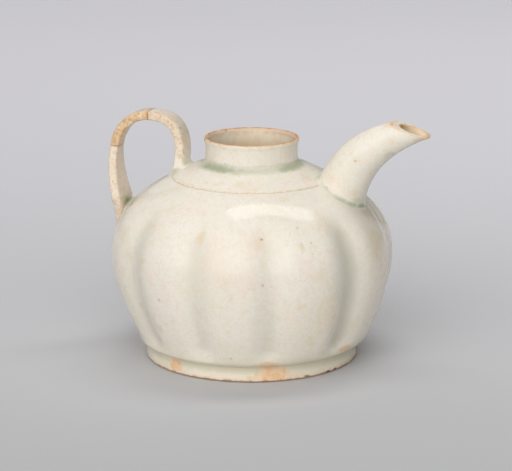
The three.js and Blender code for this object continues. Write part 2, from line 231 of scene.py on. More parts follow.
def cap_height(radius):
    return SEAM_HEIGHT + (SEAM_RADIUS - radius) * SHOULDER_SLOPE


def shoulder_radius(height):
    """Radius of the outside at a height, on the upper half of the pot and on the cap."""
    if height >= SEAM_HEIGHT:
        return SEAM_RADIUS - (height - SEAM_HEIGHT) / SHOULDER_SLOPE
    low, pull, high = (point[1] for point in UPPER_WALL)
    bend, rise = low - 2 * pull + high, 2 * (pull - low)
    share = (math.sqrt(rise * rise - 4 * bend * (low - height)) - rise) / (2 * bend)
    return bezier(UPPER_WALL, max(0.0, share)).x


print("shoulder falls", round(math.degrees(math.atan(SHOULDER_SLOPE)), 1), "degrees")

# %% Grooves between the lobes
GROOVES = [11, 47.8, 84.7, 121.5, 158.3, 195.2, 232, 263.5, 294.7, 331.6]
DEEPER = [1, 1, 1, 1, 1, 1, 1, 1, 1, 1.4]
GROOVE_DEPTH = 2.2 * MM
GROOVE_SHARPNESS = 5
GROOVE_END = 16 * MM
GROOVE_FADE, GROOVE_START = 62 * MM, 76 * MM


def smooth_step(value, low, high):
    share = min(1.0, max(0.0, (value - low) / (high - low)))
    return share * share * (3 - 2 * share)


def pressing(angle, radius, height):
    """How deep the wall is pressed in, by its direction from the spout and its place."""
    direction = (math.degrees(angle) - GROOVES[0]) % 360 + GROOVES[0]
    edges = GROOVES + [GROOVES[0] + 360]
    lobe = max(index for index in range(len(GROOVES)) if edges[index] <= direction + 1e-9)
    share = (direction - edges[lobe]) / (edges[lobe + 1] - edges[lobe])
    nearest = (lobe + (1 if share > 0.5 else 0)) % len(GROOVES)
    groove = DEEPER[nearest] * abs(math.cos(math.pi * share)) ** GROOVE_SHARPNESS
    fade = 1 - smooth_step(height, GROOVE_FADE, GROOVE_START)
    fade *= smooth_step(height, FOOT_HEIGHT, GROOVE_END)
    return GROOVE_DEPTH * groove * fade * min(1.0, radius / HAUNCH_RADIUS)


def outside_pot(point):
    """How far a point of the upper half stands off the pot, measured level."""
    radius = shoulder_radius(point.z)
    angle = math.atan2(point.y, point.x)
    return math.hypot(point.x, point.y) - radius + pressing(angle, radius, point.z)


print(len(GROOVES), "lobes")

# %% [markdown]
# ## The pot
# The thrown pot is one closed wall: up the outside to the scarfed edge under the shoulder cap,
# down the inside, and across the floor. The lobes are pressed in afterwards, as the potter did,
# by moving each point towards the axis. The real pot also bulges a little to the right low down,
# and the wall is moved with it. The hole into the spout is cut last, slanting up the spout.

# %% Throw the pot
INNER_START = 0.25
FLOOR_MIDDLE, FLOOR_EDGE = 20 * MM, 38 * MM
SCARF_HEIGHT = SEAM_HEIGHT - 0.06 * MM
inner_lower = along(LOWER_WALL, 14, INNER_START, 1.0, POT_WALL)
inner_upper = along(UPPER_WALL, 18, 0.0, 1.0, POT_WALL)
wall_foot = inner_lower[0]
wall_heading = bezier_heading(LOWER_WALL, INNER_START)
floor_corner = wall_foot[0] - (wall_foot[1] - FLOOR_TOP) * wall_heading.x / wall_heading.y
floor_turn = along([(FLOOR_EDGE, FLOOR_TOP), (floor_corner, FLOOR_TOP), wall_foot], 6)
mouth_radius = inner_upper[-1][0] - (SEAM_HEIGHT - inner_upper[-1][1]) / SHOULDER_SLOPE
seam_edge = [
    (SEAM_RADIUS + 0.06 * MM, SEAM_HEIGHT - 0.03 * MM),
    (SEAM_RADIUS - 0.06 * MM, SEAM_HEIGHT - 0.01 * MM),
    (SEAM_RADIUS - 0.22 * MM, SCARF_HEIGHT),
]
pot_outline = (
    [(0, FOOT_HEIGHT), (FLOOR_MIDDLE, FOOT_HEIGHT), (FLOOR_EDGE, FOOT_HEIGHT)]
    + along(HEEL, 8)
    + along(LOWER_WALL, 26)[1:]
    + along(UPPER_WALL, 34, 0.0, 0.985)[1:]
    + seam_edge
    + [(mouth_radius, SCARF_HEIGHT)]
    + inner_upper[::-1][1:]
    + inner_lower[::-1][1:]
    + floor_turn[::-1][1:]
    + [(FLOOR_MIDDLE, FLOOR_TOP), (0, FLOOR_TOP)]
)
pot_form = thrown(pot_outline)
print("pot outline", len(pot_outline), "points")

# %% Press the lobes
BULGE = image_right * 1.1 * MM
BULGE_HEIGHT, BULGE_TOP = 12 * MM, 60 * MM
groove_mark = pot_form.verts.layers.float.new("groove")
for corner in pot_form.verts:
    radius = math.hypot(corner.co.x, corner.co.y)
    if radius > 1e-6:
        depth = pressing(math.atan2(corner.co.y, corner.co.x), radius, corner.co.z)
        corner[groove_mark] = depth / GROOVE_DEPTH
        corner.co.x *= 1 - depth / radius
        corner.co.y *= 1 - depth / radius
        share = smooth_step(corner.co.z, FOOT_HEIGHT, BULGE_HEIGHT)
        corner.co += BULGE * (share * (1 - smooth_step(corner.co.z, BULGE_HEIGHT, BULGE_TOP)))
pot = set_down(pot_form, "pot_wall", "melon_body")

# %% Cut the hole into the spout
SPOUT_PULLS = [(40.7, 75.9), (46.6, 93.5), (58, 100.6), (76.4, 106.3)]
spout_start = Vector((SPOUT_PULLS[0][0], 0, SPOUT_PULLS[0][1])) * MM
spout_rise = Vector((SPOUT_PULLS[1][0], 0, SPOUT_PULLS[1][1])) * MM - spout_start
hole_turn = spout_rise.to_track_quat("Z", "Y").to_matrix().to_4x4()
HOLE_RADIUS, HOLE_DEPTH = 6 * MM, 24 * MM
hole_form = bmesh.new()
bmesh.ops.create_cone(
    hole_form, cap_ends=True, segments=48, depth=HOLE_DEPTH, radius1=HOLE_RADIUS,
    radius2=HOLE_RADIUS, matrix=Matrix.Translation(axis_foot + spout_start) @ hole_turn,
)
cutter = new_object("cutter", mesh_of(hole_form, "cutter"))
cut = pot.modifiers.new("cut", "BOOLEAN")
cut.operation, cut.solver, cut.object = "DIFFERENCE", "EXACT", cutter
cut_pot = pot.evaluated_get(bpy.context.evaluated_depsgraph_get())
pierced = bpy.data.meshes.new_from_object(cut_pot)
pot.modifiers.remove(cut)
pot.data = pierced
bpy.data.objects.remove(cutter)
print("pot with its hole:", len(pierced.polygons), "faces")

# %% [markdown]
# ## Ring foot, shoulder cap and collar
# These are thrown too. The foot spreads a little towards the table, is trimmed to a soft edge
# there, and flares at its top to meet the pot's heel without a hard corner. The cap is a low cone
# whose outer edge stops short of the pot and leaves the scored line, and the collar has a rounded
# rim that swells slightly.

# %% Throw the ring foot
foot_outline = (
    [(39.8 * MM, FOOT_HEIGHT), (39.9 * MM, 2.0 * MM)]
    + along(mm((39.9, 1.2), (40.0, 0), (41.2, 0)), 5)
    + mm((43.2, 0))
    + along(mm((45.6, 0), (46.75, 0.05), (46.7, 1.0)), 6)
    + along(mm((46.6, 2.2), (45.8, 5.6), (47.0, 7.1)), 9)
    + [(45.3 * MM, FOOT_HEIGHT), (42 * MM, FOOT_HEIGHT)]
)
foot = set_down(thrown(foot_outline), "ring_foot", "foot_ring")

# %% Throw the shoulder cap
CAP_HOLE_RADIUS = 18.4 * MM
cap_edge_radius = SEAM_RADIUS - 0.25 * MM
cap_depth = 3 * MM * math.hypot(1, SHOULDER_SLOPE)
cap_underside_radius = cap_edge_radius - cap_depth / SHOULDER_SLOPE
seat_height = cap_height(NECK_SEAT_RADIUS)
cap_edge = [
    (cap_edge_radius, SEAM_HEIGHT),
    (cap_edge_radius + 0.01 * MM, cap_height(cap_edge_radius) - 0.08 * MM),
    (cap_edge_radius - 0.1 * MM, cap_height(cap_edge_radius - 0.1 * MM) - 0.02 * MM),
]
cap_slope = [
    (radius * MM, cap_height(radius * MM)) for radius in (34.3, 33, 31, 29, 27, 25, 23.5, 22.2)
]
cap_outline = (
    [(CAP_HOLE_RADIUS, cap_height(CAP_HOLE_RADIUS) - cap_depth)]
    + [(24 * MM, cap_height(24 * MM) - cap_depth), (cap_underside_radius, SEAM_HEIGHT)]
    + cap_edge
    + cap_slope
    + [(NECK_SEAT_RADIUS, seat_height), (CAP_HOLE_RADIUS, seat_height)]
)
cap = set_down(thrown(cap_outline), "cap_cone", "shoulder_cap")

# %% Throw the collar
collar_outline = (
    [(CAP_HOLE_RADIUS, seat_height), (20.7 * MM, seat_height)]
    + along([(20.75 * MM, seat_height + 0.3 * MM), *mm((20.25, 88.6), (20.25, 90.5))], 6)
    + along(mm((20.22, 92.5), (20.2, 95), (20.6, 96.1)), 7)
    + along(mm((20.8, 96.6), (21.1, 97.8), (20.1, 97.9)), 8)
    + along(mm((19.9, 97.88), (18.75, 97.8), (18.6, 96.3)), 8)
    + mm((18.45, 94), (18.4, 91), (18.4, 89))
)
collar = set_down(thrown(collar_outline), "collar", "neck_collar")

# %% [markdown]
# ## Bent forms
# Spout and strap are sections that ride along a curve in the upright plane through both. The
# spout's section is round. The strap's is a flat bar with soft corners, which one exponent gives:
# 1 is an ellipse, and a smaller one squares it.


# %% Sections along a curve
SEARCH = 8 * MM


def halving(low, high, short_of, steps=30):
    """The place between low and high up to which short_of holds, found by halving."""
    for _ in range(steps):
        middle = (low + high) / 2
        if short_of(middle):
            low = middle
        else:
            high = middle
    return high


class Bent:
    """A section that follows a curve, with its half width and half depth at each share."""

    def __init__(self, pulls, half_width, half_depth, squareness=1.0):
        self.pulls = [Vector((x * MM, 0, z * MM)) for x, z in pulls]
        self.half_width = half_width
        self.half_depth = half_depth
        self.squareness = squareness
        steps = [bezier(self.pulls, step / 200) for step in range(201)]
        self.length = sum((second - first).length for first, second in zip(steps, steps[1:]))

    def point(self, distance, angle, growth=0.0):
        """A point on the outside; past either end the form runs straight on."""
        share = min(1.0, max(0.0, distance / self.length))
        heading = bezier_heading(self.pulls, share)
        across = Vector((heading.z, 0, -heading.x))
        side = across.cross(heading)

        def bend(value):
            return math.copysign(abs(value) ** self.squareness, value)

        return (
            bezier(self.pulls, share)
            + heading * (distance - share * self.length)
            + across * bend(math.sin(angle)) * (self.half_depth(share) + growth)
            + side * bend(math.cos(angle)) * (self.half_width(share) + growth)
        )

    @functools.cache
    def root(self, angle, growth=0.0):
        """How far along the form it leaves the pot, on the line at this angle."""
        return halving(
            -SEARCH, SEARCH, lambda distance: outside_pot(self.point(distance, angle, growth)) < 0
        )


def mixed(first, last):
    """A half size that changes evenly from one end to the other."""
    return lambda share: (first + (last - first) * share) / 2 * MM


# %% [markdown]
# ## The spout
# The spout is one closed skin: up the outside from where it meets the pot, over the rounded edge
# of the slanted cut, and back down its bore. Working out where each line round it meets the pot
# and the cut keeps the grid even, and needs no cutting afterwards.

# %% Shape of the spout
def spout_radius(share):
    return bezier([(22.2, 0), (18.6, 0), (9.8, 0)], share).x / 2 * MM


def bore_radius(share):
    return spout_radius(share) - (2.7 - 0.8 * share) * MM


spout_form = Bent(SPOUT_PULLS, spout_radius, spout_radius)
bore_form = Bent(SPOUT_PULLS[:3] + [(76.4, 105.8)], bore_radius, bore_radius)
CUT_TIP = Vector((79.9 * MM, 0, 103.1 * MM))
CUT_SLANT, CUT_ROLL = math.radians(19), math.radians(7)
CUT_NORMAL = Vector((
    math.cos(CUT_ROLL) * math.sin(CUT_SLANT),
    -math.sin(CUT_ROLL),
    math.cos(CUT_ROLL) * math.cos(CUT_SLANT),
))


@functools.cache
def cut_distance(form, angle, below=0.0):
    """How far along the form the slanted cut crosses the line at this angle."""
    def before_cut(distance):
        return (form.point(distance, angle) - CUT_TIP).dot(CUT_NORMAL) < -below

    return halving(form.length * 0.4, form.length + 12 * MM, before_cut, 36)


print("spout", round(spout_form.length / MM, 1), "mm along its curve")


# %% Skin of the spout
ROUND_STEPS = 96
OUTER_STEPS, LIP_STEPS, BORE_STEPS = 44, 6, 26
LIP_SOFT, LIP_WORN = 0.3, 0.8
BORE_SOFT = 0.25 * MM


def spout_point(angle, station):
    """The lip is softened all round, and worn down more at its tip."""
    part, share = station
    worn = (LIP_SOFT + LIP_WORN * max(0.0, math.sin(angle)) ** 6) * MM
    if part == "outside":
        start, end = spout_form.root(angle), cut_distance(spout_form, angle, worn)
        return spout_form.point(start + (end - start) * share, angle)
    outer = spout_form.point(cut_distance(spout_form, angle, worn), angle)
    inner = bore_form.point(cut_distance(bore_form, angle, BORE_SOFT), angle)
    if part == "lip":
        crest_out = spout_form.point(cut_distance(spout_form, angle), angle)
        crest_in = bore_form.point(cut_distance(bore_form, angle), angle)
        crest_out = crest_out.lerp(crest_in, (worn - LIP_SOFT * MM) / (2 * LIP_WORN * MM))
        return bezier([outer, crest_out, crest_in, inner], share)
    start, end = cut_distance(bore_form, angle, BORE_SOFT), bore_form.root(angle)
    return bore_form.point(start + (end - start) * share, angle)


def bore_mark(angle, station):
    """0 outside, 1 in the bore, and between them over the lip."""
    return {"outside": 0.0, "lip": station[1], "bore": 1.0}[station[0]]


spout_stations = (
    [("outside", step / OUTER_STEPS) for step in range(OUTER_STEPS + 1)]
    + [("lip", step / LIP_STEPS) for step in range(1, LIP_STEPS + 1)]
    + [("bore", step / BORE_STEPS) for step in range(1, BORE_STEPS + 1)]
    + [("outside", 0.0)]
)
spout_skin = skin(ROUND_STEPS, spout_stations, spout_point, {"bore": bore_mark})
spout = set_down(spout_skin, "spout_tube", "spout")

# %% [markdown]
# ## The strap handle
# One pulled strap rises from the cap, turns over and comes down on the pot's shoulder. It was
# broken and mended, so it is four pieces that meet at hairline joints, and the crown piece is a
# tanner fragment. Each piece starts with the place, width and depth at which the last one ends,
# and is a skin with softened ends.

# %% Curves of the strap
STRAP_AROUND, STRAP_STEPS = 56, 30
FLATNESS = 0.4
STRAP_PULLS = [
    [(-33, 81), (-29.4, 98), (-34.5, 105.1), (-46.5, 105.1)],
    [(-54.5, 105.1), (-61.4, 99.5), (-62.9, 90.5)],
    [(-64.2, 82.6), (-62.8, 74), (-60.9, 66.5)],
    [(-59.9, 62.6), (-60.9, 58), (-60.9, 53.5)],
]
STRAP_WIDTHS = [11.8, 10, 8.2, 16.4, 9.0]
STRAP_DEPTHS = [4.8, 4.3, 4.2, 4.8, 3.0]
strap_forms, joint = [], []
for number, pulls in enumerate(STRAP_PULLS):
    width = mixed(STRAP_WIDTHS[number], STRAP_WIDTHS[number + 1])
    depth = mixed(STRAP_DEPTHS[number], STRAP_DEPTHS[number + 1])
    strap_forms.append(Bent(joint + pulls, width, depth, FLATNESS))
    joint = pulls[-1:]
FRONT_LEG, CROWN, BACK_LEG, TAIL = strap_forms
strap_length = sum(form.length for form in strap_forms)
print("strap", round(strap_length / MM, 1), "mm along its curve")


# %% Skin of a strap piece
def corner_mark(angle, station):
    """1 along the strap's four corners."""
    return abs(math.sin(2 * angle)) ** 2


def near_mark(angle, station):
    """1 in the middle of the side that faces the camera."""
    return max(0.0, math.cos(angle))


def strap_skin(form, rooted=False, resting=False, mends=(0.0, 1.0)):
    """A strap piece with softened ends; rooted starts on the pot and resting lies against it."""
    soft = 0.06 * MM

    def mend_mark(angle, station):
        """Millimetres to the nearest mended end."""
        return min(abs(station[0] - mend) * form.length / MM for mend in mends)

    def place(angle, station):
        share, shrink = station
        start = form.root(angle) if rooted else 0.0
        distance = start + (form.length - start) * share
        point = form.point(distance, angle, -soft if shrink < 1.0 else 0.0)
        if share <= 0.0 or share >= 1.0:
            middle = (form.point(distance, 0.0) + form.point(distance, math.pi)) / 2
            point = middle + (point - middle) * shrink
        if resting and outside_pot(point) < 0:
            radius = math.hypot(point.x, point.y)
            stretch = (radius - outside_pot(point)) / radius
            point.x *= stretch
            point.y *= stretch
        return point

    edge = soft / form.length
    stations = (
        [(0.0, 0.0), (0.0, 0.5), (0.0, 0.999)]
        + [(edge + (1 - 2 * edge) * step / STRAP_STEPS, 1.0) for step in range(STRAP_STEPS + 1)]
        + [(1.0, 0.999), (1.0, 0.5), (1.0, 0.0)]
    )
    marks = {"corner": corner_mark, "mend": mend_mark, "near": near_mark}
    return skin(STRAP_AROUND, stations, place, marks)


# %% The four strap pieces
front_skin = strap_skin(FRONT_LEG, rooted=True, mends=[1.0])
front_leg = set_down(front_skin, "strap_front", "handle_front_leg")
crown = set_down(strap_skin(CROWN), "strap_crown", "handle_crown")
back_leg = set_down(strap_skin(BACK_LEG, mends=[0.0]), "strap_back", "handle_back_leg")
tail_skin = strap_skin(TAIL, resting=True, mends=[0.0])
tail = set_down(tail_skin, "strap_tail", "handle_tail")

# %% [markdown]
# ## Slip in the corners
# Where two pieces were stuck together the potter ran wet slip round the joint with a finger, and
# the glaze pooled there later. Each ring of slip has a hollow face that starts level with one
# surface and ends level with the other, so that the eye sees one continuous skin.

# %% Slip round the collar
SLIP_SINK = 0.02 * MM
SLIP_INNER = 20.4 * MM
slip_outer = NECK_SEAT_RADIUS + 2.0 * MM
slip_face = along([
    (slip_outer, cap_height(slip_outer) - SLIP_SINK),
    (NECK_SEAT_RADIUS - 0.3 * MM, seat_height + 0.1 * MM),
    (20.43 * MM, seat_height + 1.4 * MM),
], 14)
slip_back = [(20.3 * MM, seat_height + 0.8 * MM), (20.6 * MM, seat_height - 0.1 * MM)]
slip_form = thrown(slip_face + slip_back)
rise_mark = slip_form.verts.layers.float.new("rise")
for corner in slip_form.verts:
    inwards = slip_outer - math.hypot(corner.co.x, corner.co.y)
    corner[rise_mark] = inwards / (slip_outer - SLIP_INNER)
neck_slip = set_down(slip_form, "collar_slip", "neck_luting")


# %% Slip round a bent form's root
SLIP_STEPS = 12


def drop_on_pot(point):
    """The point moved up or down until it lies just under the pot's surface."""
    rise = halving(-SEARCH, SEARCH, lambda rise: outside_pot(point + Vector((0, 0, rise))) < 0)
    return point + Vector((0, 0, rise - SLIP_SINK))


def slip_skin(form, reach, rise):
    """A closed ring of slip between a form and the pot."""
    def place(angle, station):
        start = form.root(angle)
        corner = form.point(start, angle)
        upper = form.point(start + rise, angle, -SLIP_SINK)
        outer = drop_on_pot(form.point(start, angle, reach))
        if station == "back":
            return corner.lerp((upper + outer) / 2, -0.15)
        return bezier([outer, corner, upper], station)

    def share_of_rise(angle, station):
        return 0.5 if station == "back" else station

    stations = [step / SLIP_STEPS for step in range(SLIP_STEPS + 1)] + ["back", 0.0]
    return skin(ROUND_STEPS, stations, place, {"rise": share_of_rise})


spout_ring = slip_skin(spout_form, 1.8 * MM, 1.6 * MM)
spout_slip = set_down(spout_ring, "spout_slip", "spout_luting")
front_ring = slip_skin(FRONT_LEG, 2.8 * MM, 3.0 * MM)
front_slip = set_down(front_ring, "strap_front_slip", "handle_front_luting")

# %% [markdown]
# The back of the strap lies down on the pot, so its slip isn't a ring but a low mound under and
# beside the strap, thickest where the strap's inner face lifts off the wall.


# %% Mound of slip under the back of the strap
MOUND_HEIGHT, MOUND_HALF_WIDTH = 62.5 * MM, 8.2 * MM
MOUND_UP, MOUND_DOWN = 7.4 * MM, 10.5 * MM
MOUND_THICKNESS = 3.4 * MM
MOUND_STEPS, UNDER_STEPS = 16, 4


def mound_point(angle, station):
    """On the mound's face where lifted, and otherwise on its underside, sunk in the wall."""
    share, lifted = station
    y = MOUND_HALF_WIDTH * share * math.cos(angle)
    upright = MOUND_UP if math.sin(angle) > 0 else MOUND_DOWN
    z = MOUND_HEIGHT + upright * share * math.sin(angle)
    radius = shoulder_radius(z)
    across = math.asin(max(-1.0, min(1.0, y / radius)))
    reach = radius - pressing(math.pi - across, radius, z)
    height = (1 - share) ** 1.6 * MOUND_THICKNESS if lifted else -0.3 * MM
    if share >= 1.0:
        height = -SLIP_SINK
    return Vector((-(reach + height) * math.cos(across), y, z))


mound_stations = [(step / MOUND_STEPS, True) for step in range(MOUND_STEPS + 1)]
mound_stations += [(step / UNDER_STEPS, False) for step in range(UNDER_STEPS - 1, -1, -1)]
mound = skin(72, mound_stations, mound_point, {"rise": lambda angle, station: 1 - station[0]})
back_slip = set_down(mound, "strap_back_slip", "handle_back_luting")

# %% [markdown]
# ## Shader sums
# A finish is easier to read as sums than as boxes and wires. This small class wraps a socket so
# that plus, minus, times and so on add Math nodes, and one method adds any other node.


# %% A socket that can be used in sums
class Field:
    """A value that varies over the surface."""

    def __init__(self, nodes, socket):
        self.nodes = nodes
        self.socket = socket

    def sum(self, operation, *others):
        return self.nodes.add("Math", {"operation": operation}, [self, *others])

    def __add__(self, other):
        return self.sum("ADD", other)

    def __mul__(self, other):
        return self.sum("MULTIPLY", other)

    __radd__, __rmul__ = __add__, __mul__

    def __sub__(self, other):
        return self.sum("SUBTRACT", other)

    def __rsub__(self, other):
        return self.nodes.add("Math", {"operation": "SUBTRACT"}, [other, self])

    def wavy(self, amount=1):
        """The same value with the finish's ragged field added, so that a step in it is uneven."""
        return self + self.nodes.ragged * amount

    def clamped(self):
        return self.sum("MAXIMUM", 0.0).sum("MINIMUM", 1.0)

    def most(self, other):
        return self.sum("MAXIMUM", other)

    def other(self, output):
        """Another output of the same node."""
        return Field(self.nodes, self.nodes.find(self.socket.node.outputs, output))

    def step(self, low, high):
        """0 up to low, 1 from high on, and smooth between; low may be the larger one."""
        inputs = {"Value": self, "From Min": min(low, high), "From Max": max(low, high)}
        rise = self.nodes.add("MapRange", {"interpolation_type": "SMOOTHSTEP"}, inputs)
        return rise if low < high else 1 - rise


# %% A tree that adds its own nodes
def linear(colour):
    """The linear light that nodes use, from red, green and blue on screen from 0 to 255."""
    parts = [value / 255 for value in colour]
    light = [part / 12.92 if part <= 0.04045 else ((part + 0.055) / 1.055) ** 2.4 for part in parts]
    return (*light, 1.0)


class Nodes:
    """A node tree, of a finish or of the room."""

    def __init__(self, tree):
        self.tree = tree

    def add(self, kind, settings, inputs, output=0):
        node = self.tree.nodes.new("ShaderNode" + kind)
        for name, value in settings.items():
            setattr(node, name, value)
        pairs = inputs.items() if isinstance(inputs, dict) else enumerate(inputs)
        for name, value in pairs:
            self.feed(self.find(node.inputs, name), value)
        return Field(self, self.find(node.outputs, output))

    def feed(self, socket, value):
        """Links a field, or sets a number, a vector or a colour as it looks on screen."""
        if isinstance(value, Field):
            self.tree.links.new(value.socket, socket)
        else:
            socket.default_value = linear(value) if socket.type == "RGBA" else value

    @staticmethod
    def find(sockets, name):
        """By number, by identifier, or by the name in the editor."""
        if isinstance(name, int):
            return sockets[name]
        return {socket.identifier: socket for socket in sockets}.get(name) or sockets[name]

    def mix(self, share, first, second):
        """The second colour over the first, by a share."""
        inputs = {"Factor_Float": share, "A_Color": first, "B_Color": second}
        return self.add("Mix", {"data_type": "RGBA"}, inputs, "Result_Color")

    def vector(self, operation, *inputs):
        return self.add("VectorMath", {"operation": operation}, inputs)

    def number(self, operation, *inputs):
        """A vector sum that gives a number, such as a length or a dot product."""
        return self.add("VectorMath", {"operation": operation}, inputs, "Value")


# %% A finish for a surface
class Finish(Nodes):
    """A material whose patterns are laid out in millimetres from the foot of the pot's axis."""

    def __init__(self, name):
        self.material = bpy.data.materials.new(name)
        self.material.use_nodes = True
        super().__init__(self.material.node_tree)
        self.shader = self.tree.nodes["Principled BSDF"]
        place = self.add("TexCoord", {}, {}, "Object")
        self.place = self.vector("MULTIPLY_ADD", place, (1000, 1000, 1000), (-AXIS_X / MM, 0, 0))
        self.height = self.add("SeparateXYZ", {}, [self.place], "Z")
        self.radius = self.number("LENGTH", self.vector("MULTIPLY", self.place, (1, 1, 0)))
        self.ragged = self.noise(2.4, 4.0) - 0.5

    def noise(self, size, detail=2.0, shift=(0, 0, 0), stretch=(1, 1, 1)):
        """Soft random field from 0 to 1, with patches about this many millimetres across."""
        spot = self.vector("MULTIPLY_ADD", self.place, stretch, shift)
        inputs = {"Vector": spot, "Scale": 1 / size, "Detail": detail}
        return self.add("TexNoise", {}, inputs)

    def mark(self, name):
        """A number kept on the corners of the mesh."""
        return self.add("Attribute", {"attribute_name": name}, {}, "Fac")

    def blots(self, places, ragged=2.2, core=0.1):
        """The strongest of many ragged blots, each a strength, a centre and a reach."""
        total = None
        for strength, centre, reach in places:
            offset = self.vector("DIVIDE", self.vector("SUBTRACT", self.place, centre), reach)
            one = self.number("LENGTH", offset).wavy(ragged).step(1.35, core) * strength
            total = one if total is None else total.most(one)
        return total

    def paint(self, share, colour):
        """Lays a colour over what is there, by a share."""
        self.colour = self.mix(share, self.colour, colour)

    def daub(self, share, colour, places, ragged=2.2, core=0.1):
        """Paints blots by a share, and gives them back."""
        marks = self.blots(places, ragged, core)
        self.paint(marks * share, colour)
        return marks

    def specks(self, spacing, share, reach, shift=(0, 0, 0)):
        """Round specks in a share of the cells of a scattered grid."""
        spot = self.vector("ADD", self.place, shift)
        inputs = {"Vector": spot, "Scale": 1 / spacing}
        distance = self.add("TexVoronoi", {}, inputs, "Distance")
        chance = self.add("SeparateColor", {}, [distance.other("Color")], "Red")
        return (distance * spacing).step(reach, reach * 0.3) * chance.sum("LESS_THAN", share)

    def crackle(self, spacing, width, stretch=(1, 1, 1)):
        """Thin cracks that part the glaze into patches."""
        bent = self.add("TexNoise", {}, {"Vector": self.place, "Scale": 0.3}, "Color")
        spot = self.vector("MULTIPLY_ADD", bent, (3, 3, 3), self.place)
        spot = self.vector("MULTIPLY", spot, stretch)
        inputs = {"Vector": spot, "Scale": 1 / spacing}
        edge = self.add("TexVoronoi", {"feature": "DISTANCE_TO_EDGE"}, inputs, "Distance")
        return (edge * spacing).step(width, 0.0)

    def set(self, socket, value):
        self.feed(self.shader.inputs[socket], value)


# %% [markdown]
# ## The cream glaze
# The glaze is a thin, pale coat over a white clay that fires pinkish orange where it is bare. Up
# close it is never one colour: it drifts between cream, greenish and rosy, ochre has bled through
# in blots, and fine specks and pinholes are scattered over it. Every glazed piece shares this
# coat, and each then adds the marks that the real one has.

# %% Colours of clay and glaze
CREAM = (236, 229, 218)
GREENISH_CREAM = (231, 226, 213)
ROSY_CREAM = (237, 225, 214)
OCHRE_BLEED = (222, 203, 162)
BROWN_SPECK = (150, 132, 104)
POOLED_GREEN = (188, 194, 166)
DEEP_GREEN = (160, 168, 134)
BARE_CLAY = (224, 184, 142)
SEAM_CLAY = (226, 194, 148)
DARK_LINE = (120, 84, 56)
print("cream in linear light", [round(part, 3) for part in linear(CREAM)[:3]])


# %% The coat that the glazed pieces share
def cream_coat(name, seed):
    """A finish with its colour and its bumps, for the piece to add to."""
    coat = Finish(name)
    coat.colour = CREAM
    coat.paint(coat.noise(30, 2, (seed, 0, 0)).step(0.38, 0.62), GREENISH_CREAM)
    coat.paint(coat.noise(13, 3, (0, seed, 5)).step(0.52, 0.7) * 0.8, ROSY_CREAM)
    bleed = coat.noise(5, 4, (9, 2, seed)).step(0.55, 0.75)
    bleed *= coat.noise(24, 1, (seed, 5, 2)).step(0.4, 0.62)
    coat.paint(bleed * 0.5, OCHRE_BLEED)
    coat.paint(coat.noise(1.1, 4, (seed, seed, 0)).step(0.4, 0.7) * 0.26, OCHRE_BLEED)
    clouds = coat.noise(2.8, 3, (7, seed, 1)).step(0.46, 0.7)
    coat.paint(clouds * 0.22, (224, 204, 172))
    veins = coat.crackle(9, 0.2) * coat.noise(12, 2, (seed, 7, 7)).step(0.46, 0.66)
    coat.paint(veins * 0.16, (200, 174, 138))
    freckles = coat.specks(1.9, 0.3, 0.4, (seed, 8, 1))
    freckles *= coat.noise(14, 2, (7, seed, 7)).step(0.4, 0.65)
    coat.paint(freckles * 0.4, (204, 176, 138))
    specks = coat.specks(2.6, 0.22, 0.34, (seed, 0, 3)) * 0.3
    specks = specks.most(coat.specks(6.5, 0.3, 0.5, (0, seed, 0)) * 0.4)
    coat.paint(specks, BROWN_SPECK)
    swell, grain = coat.noise(4, 2, (seed, 1, 1)), coat.noise(0.9, 2)
    coat.bumps = swell * 0.05 + grain * 0.012 - specks * 0.06
    return coat


# %% Fire a finish on to its piece
BARE_ROUGHNESS = 0.6
GLOSS_LEVEL = 0.22


def fire(coat, piece, bare=None, rough=0.2):
    """Puts the colour, roughness and bumps on the shader, and the finish on the piece."""
    roughness = coat.noise(9, 2, (3, 3, 3)) * 0.06 + (rough - 0.03)
    if bare is not None:
        roughness += bare * (BARE_ROUGHNESS - rough)
    coat.set("Base Color", coat.colour)
    coat.set("Roughness", roughness.clamped())
    coat.set("Specular IOR Level", GLOSS_LEVEL)
    inputs = {"Strength": 1, "Distance": 1.0 * MM, "Height": coat.bumps}
    coat.set("Normal", coat.add("Bump", {}, inputs, "Normal"))
    piece.data.materials.append(coat.material)
    print("finished", piece.name, "with", len(coat.tree.nodes), "nodes")


# %% [markdown]
# ## The pot's own marks
# Glaze ran into the grooves and down on to the foot, so it is greener there. The blots, pinholes
# and the broken orange line at the shoulder seam are where they are on the real pot. A mark is
# written as its strength, its place in millimetres from the foot of the pot's axis, and its reach
# along each of the three directions.

# %% Green in the grooves and above the foot, and painted shade in the grooves
coat = cream_coat("pot_glaze", 0)
groove = coat.mark("groove")
runs = coat.noise(5, 2, (2, 2, 2), (1, 1, 0.15)).step(0.35, 0.7)
coat.paint((groove * 0.18 + groove * runs * 0.17).clamped(), (209, 210, 194))
# Painted shade: darker grey in the grooves, strongest in the deepest one.
coat.paint(groove.step(0.7, 1.6) * 0.45, (176, 168, 150))
above_foot = coat.height.step(14.5, 7.5) * (0.6 + runs * 0.4)
coat.paint(above_foot * 0.6, (214, 207, 182))
print("green in", len(GROOVES), "grooves")

